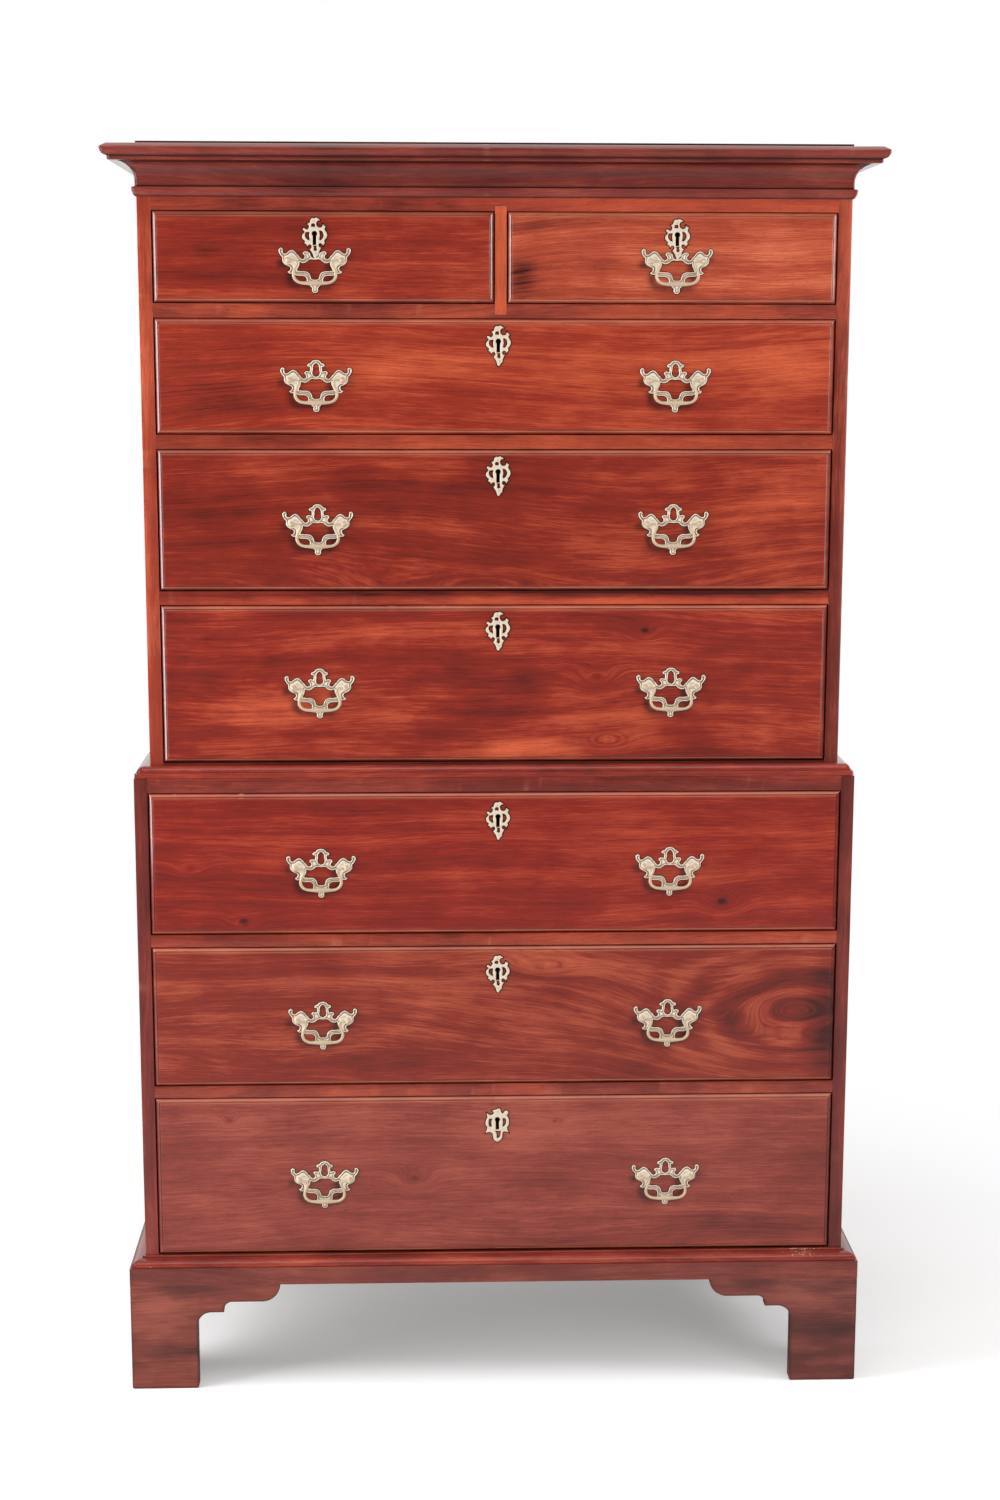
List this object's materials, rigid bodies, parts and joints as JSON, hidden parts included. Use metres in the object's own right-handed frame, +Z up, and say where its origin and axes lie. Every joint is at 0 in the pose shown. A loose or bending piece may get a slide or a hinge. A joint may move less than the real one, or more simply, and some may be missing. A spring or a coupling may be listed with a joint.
{
  "type": "chest on chest",
  "caption": "Tall chest on chest: a drawer case on bracket feet carries a narrower drawer case under a moulded cornice, with pierced brass bail handles.",
  "frame": {"origin": "on the floor, under the middle of the overall box", "axes": "+Z up, -Y towards the front where the drawers pull out, +X to the right seen from the front"},
  "size_m": [1.11, 0.55, 1.8535],
  "materials": {
    "mahogany": "polished",
    "oak": "unfinished",
    "pine": "unfinished",
    "brass": "polished",
    "iron": "dull"
  },
  "bodies": {
    "carcass": {"upper_case_sides": "mahogany", "upper_case_top_and_bottom": "mahogany", "upper_case_rails_and_muntin": "mahogany", "upper_case_dustboards_and_stops": "pine", "upper_case_back_boards": "pine", "cornice": "mahogany", "lower_case_sides": "mahogany", "lower_case_top_and_bottom": "mahogany", "lower_case_rails": "mahogany", "lower_case_dustboards_and_stops": "pine", "lower_case_back_boards": "pine", "waist_moulding": "mahogany", "plinth_and_base_moulding": "mahogany", "bracket_feet": "mahogany"},
    "drawer_1_left": {"drawer_1_left_front": "mahogany", "drawer_1_left_box": "oak", "drawer_1_left_brasses": "brass"},
    "drawer_1_left_bail": {"drawer_1_left_bail": "brass"},
    "drawer_1_left_lock_bolt": {"drawer_1_left_lock_bolt": "iron"},
    "drawer_1_right": {"drawer_1_right_front": "mahogany", "drawer_1_right_box": "oak", "drawer_1_right_brasses": "brass"},
    "drawer_1_right_bail": {"drawer_1_right_bail": "brass"},
    "drawer_1_right_lock_bolt": {"drawer_1_right_lock_bolt": "iron"},
    "drawer_2": {"drawer_2_front": "mahogany", "drawer_2_box": "oak", "drawer_2_brasses": "brass"},
    "drawer_2_bail_left": {"drawer_2_bail_left": "brass"},
    "drawer_2_bail_right": {"drawer_2_bail_right": "brass"},
    "drawer_2_lock_bolt": {"drawer_2_lock_bolt": "iron"},
    "drawer_3": {"drawer_3_front": "mahogany", "drawer_3_box": "oak", "drawer_3_brasses": "brass"},
    "drawer_3_bail_left": {"drawer_3_bail_left": "brass"},
    "drawer_3_bail_right": {"drawer_3_bail_right": "brass"},
    "drawer_3_lock_bolt": {"drawer_3_lock_bolt": "iron"},
    "drawer_4": {"drawer_4_front": "mahogany", "drawer_4_box": "oak", "drawer_4_brasses": "brass"},
    "drawer_4_bail_left": {"drawer_4_bail_left": "brass"},
    "drawer_4_bail_right": {"drawer_4_bail_right": "brass"},
    "drawer_4_lock_bolt": {"drawer_4_lock_bolt": "iron"},
    "drawer_5": {"drawer_5_front": "mahogany", "drawer_5_box": "oak", "drawer_5_brasses": "brass"},
    "drawer_5_bail_left": {"drawer_5_bail_left": "brass"},
    "drawer_5_bail_right": {"drawer_5_bail_right": "brass"},
    "drawer_5_lock_bolt": {"drawer_5_lock_bolt": "iron"},
    "drawer_6": {"drawer_6_front": "mahogany", "drawer_6_box": "oak", "drawer_6_brasses": "brass"},
    "drawer_6_bail_left": {"drawer_6_bail_left": "brass"},
    "drawer_6_bail_right": {"drawer_6_bail_right": "brass"},
    "drawer_6_lock_bolt": {"drawer_6_lock_bolt": "iron"},
    "drawer_7": {"drawer_7_front": "mahogany", "drawer_7_box": "oak", "drawer_7_brasses": "brass"},
    "drawer_7_bail_left": {"drawer_7_bail_left": "brass"},
    "drawer_7_bail_right": {"drawer_7_bail_right": "brass"},
    "drawer_7_lock_bolt": {"drawer_7_lock_bolt": "iron"}
  },
  "joints": [
    {"name": "drawer_1_left_slide", "type": "slide", "parent": "carcass", "child": "drawer_1_left", "axis": [0, -1, 0], "range_m": [0, 0.4]},
    {"name": "drawer_1_left_bail_hinge", "type": "hinge", "parent": "drawer_1_left", "child": "drawer_1_left_bail", "pos_m": [-0.2585, -0.2445, 1.689], "axis": [-1, 0, 0], "range_deg": [0, 150]},
    {"name": "drawer_1_left_lock_bolt_slide", "type": "slide", "parent": "drawer_1_left", "child": "drawer_1_left_lock_bolt", "axis": [0, 0, 1], "range_m": [0, 0.009]},
    {"name": "drawer_1_right_slide", "type": "slide", "parent": "carcass", "child": "drawer_1_right", "axis": [0, -1, 0], "range_m": [0, 0.4]},
    {"name": "drawer_1_right_bail_hinge", "type": "hinge", "parent": "drawer_1_right", "child": "drawer_1_right_bail", "pos_m": [0.2585, -0.2445, 1.689], "axis": [-1, 0, 0], "range_deg": [0, 150]},
    {"name": "drawer_1_right_lock_bolt_slide", "type": "slide", "parent": "drawer_1_right", "child": "drawer_1_right_lock_bolt", "axis": [0, 0, 1], "range_m": [0, 0.009]},
    {"name": "drawer_2_slide", "type": "slide", "parent": "carcass", "child": "drawer_2", "axis": [0, -1, 0], "range_m": [0, 0.4]},
    {"name": "drawer_2_bail_left_hinge", "type": "hinge", "parent": "drawer_2", "child": "drawer_2_bail_left", "pos_m": [-0.2585, -0.2445, 1.521], "axis": [-1, 0, 0], "range_deg": [0, 150]},
    {"name": "drawer_2_bail_right_hinge", "type": "hinge", "parent": "drawer_2", "child": "drawer_2_bail_right", "pos_m": [0.2585, -0.2445, 1.521], "axis": [-1, 0, 0], "range_deg": [0, 150]},
    {"name": "drawer_2_lock_bolt_slide", "type": "slide", "parent": "drawer_2", "child": "drawer_2_lock_bolt", "axis": [0, 0, 1], "range_m": [0, 0.009]},
    {"name": "drawer_3_slide", "type": "slide", "parent": "carcass", "child": "drawer_3", "axis": [0, -1, 0], "range_m": [0, 0.4]},
    {"name": "drawer_3_bail_left_hinge", "type": "hinge", "parent": "drawer_3", "child": "drawer_3_bail_left", "pos_m": [-0.2585, -0.2445, 1.315], "axis": [-1, 0, 0], "range_deg": [0, 150]},
    {"name": "drawer_3_bail_right_hinge", "type": "hinge", "parent": "drawer_3", "child": "drawer_3_bail_right", "pos_m": [0.2585, -0.2445, 1.315], "axis": [-1, 0, 0], "range_deg": [0, 150]},
    {"name": "drawer_3_lock_bolt_slide", "type": "slide", "parent": "drawer_3", "child": "drawer_3_lock_bolt", "axis": [0, 0, 1], "range_m": [0, 0.009]},
    {"name": "drawer_4_slide", "type": "slide", "parent": "carcass", "child": "drawer_4", "axis": [0, -1, 0], "range_m": [0, 0.4]},
    {"name": "drawer_4_bail_left_hinge", "type": "hinge", "parent": "drawer_4", "child": "drawer_4_bail_left", "pos_m": [-0.2585, -0.2445, 1.075], "axis": [-1, 0, 0], "range_deg": [0, 150]},
    {"name": "drawer_4_bail_right_hinge", "type": "hinge", "parent": "drawer_4", "child": "drawer_4_bail_right", "pos_m": [0.2585, -0.2445, 1.075], "axis": [-1, 0, 0], "range_deg": [0, 150]},
    {"name": "drawer_4_lock_bolt_slide", "type": "slide", "parent": "drawer_4", "child": "drawer_4_lock_bolt", "axis": [0, 0, 1], "range_m": [0, 0.009]},
    {"name": "drawer_5_slide", "type": "slide", "parent": "carcass", "child": "drawer_5", "axis": [0, -1, 0], "range_m": [0, 0.4]},
    {"name": "drawer_5_bail_left_hinge", "type": "hinge", "parent": "drawer_5", "child": "drawer_5_bail_left", "pos_m": [-0.2585, -0.2665, 0.8095], "axis": [-1, 0, 0], "range_deg": [0, 150]},
    {"name": "drawer_5_bail_right_hinge", "type": "hinge", "parent": "drawer_5", "child": "drawer_5_bail_right", "pos_m": [0.2585, -0.2665, 0.8095], "axis": [-1, 0, 0], "range_deg": [0, 150]},
    {"name": "drawer_5_lock_bolt_slide", "type": "slide", "parent": "drawer_5", "child": "drawer_5_lock_bolt", "axis": [0, 0, 1], "range_m": [0, 0.009]},
    {"name": "drawer_6_slide", "type": "slide", "parent": "carcass", "child": "drawer_6", "axis": [0, -1, 0], "range_m": [0, 0.4]},
    {"name": "drawer_6_bail_left_hinge", "type": "hinge", "parent": "drawer_6", "child": "drawer_6_bail_left", "pos_m": [-0.2585, -0.2665, 0.576], "axis": [-1, 0, 0], "range_deg": [0, 150]},
    {"name": "drawer_6_bail_right_hinge", "type": "hinge", "parent": "drawer_6", "child": "drawer_6_bail_right", "pos_m": [0.2585, -0.2665, 0.576], "axis": [-1, 0, 0], "range_deg": [0, 150]},
    {"name": "drawer_6_lock_bolt_slide", "type": "slide", "parent": "drawer_6", "child": "drawer_6_lock_bolt", "axis": [0, 0, 1], "range_m": [0, 0.009]},
    {"name": "drawer_7_slide", "type": "slide", "parent": "carcass", "child": "drawer_7", "axis": [0, -1, 0], "range_m": [0, 0.4]},
    {"name": "drawer_7_bail_left_hinge", "type": "hinge", "parent": "drawer_7", "child": "drawer_7_bail_left", "pos_m": [-0.2585, -0.2665, 0.3265], "axis": [-1, 0, 0], "range_deg": [0, 150]},
    {"name": "drawer_7_bail_right_hinge", "type": "hinge", "parent": "drawer_7", "child": "drawer_7_bail_right", "pos_m": [0.2585, -0.2665, 0.3265], "axis": [-1, 0, 0], "range_deg": [0, 150]},
    {"name": "drawer_7_lock_bolt_slide", "type": "slide", "parent": "drawer_7", "child": "drawer_7_lock_bolt", "axis": [0, 0, 1], "range_m": [0, 0.009]}
  ]
}
